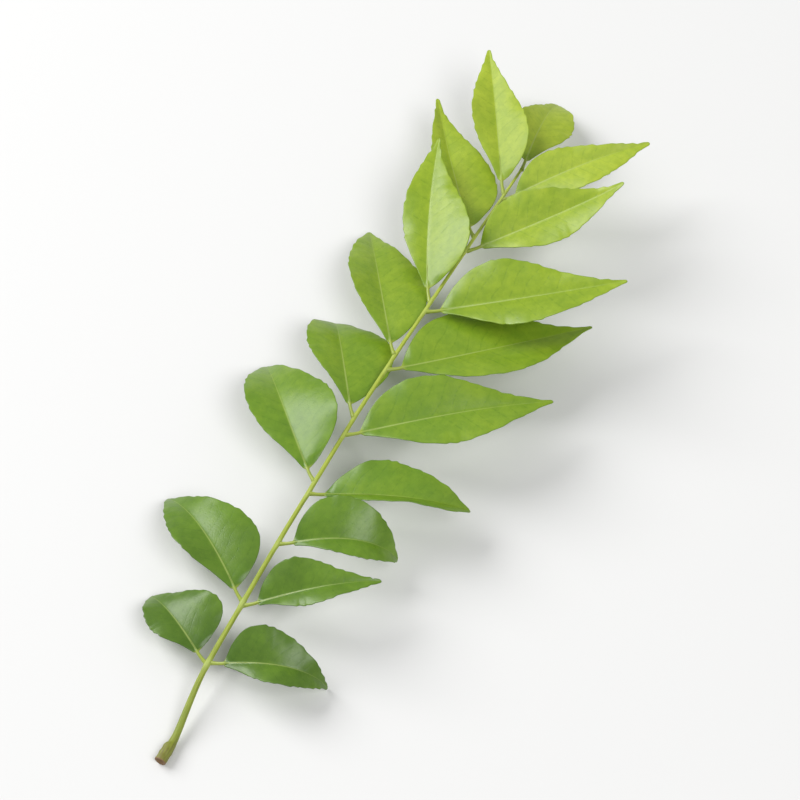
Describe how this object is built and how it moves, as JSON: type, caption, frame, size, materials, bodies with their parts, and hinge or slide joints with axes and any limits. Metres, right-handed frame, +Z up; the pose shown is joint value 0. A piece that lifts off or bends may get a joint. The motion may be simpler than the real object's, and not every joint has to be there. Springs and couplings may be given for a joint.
{
  "type": "curry leaf sprig",
  "caption": "Picked sprig of curry leaves lying on a surface, with a slender curved stalk, pointed toothed leaflets along both sides of it and a leaflet at its tip.",
  "frame": {"origin": "point of the surface under the middle of the sprig's box", "axes": "+Y along the stalk from its picked end to the leaflet at its tip, +X towards the right-hand row of leaflets, +Z up from the surface that the sprig lies on"},
  "size_m": [0.0804, 0.2234, 0.0291],
  "materials": {
    "leaf_stalk": "satin, finely downy, yellow green",
    "leaf_mature": "smooth semi-gloss upper face, paler matt underside",
    "leaf_young": "smooth semi-gloss upper face, paler matt underside"
  },
  "bodies": {
    "root": {"sprig": "leaf_mature"}
  },
  "joints": []
}
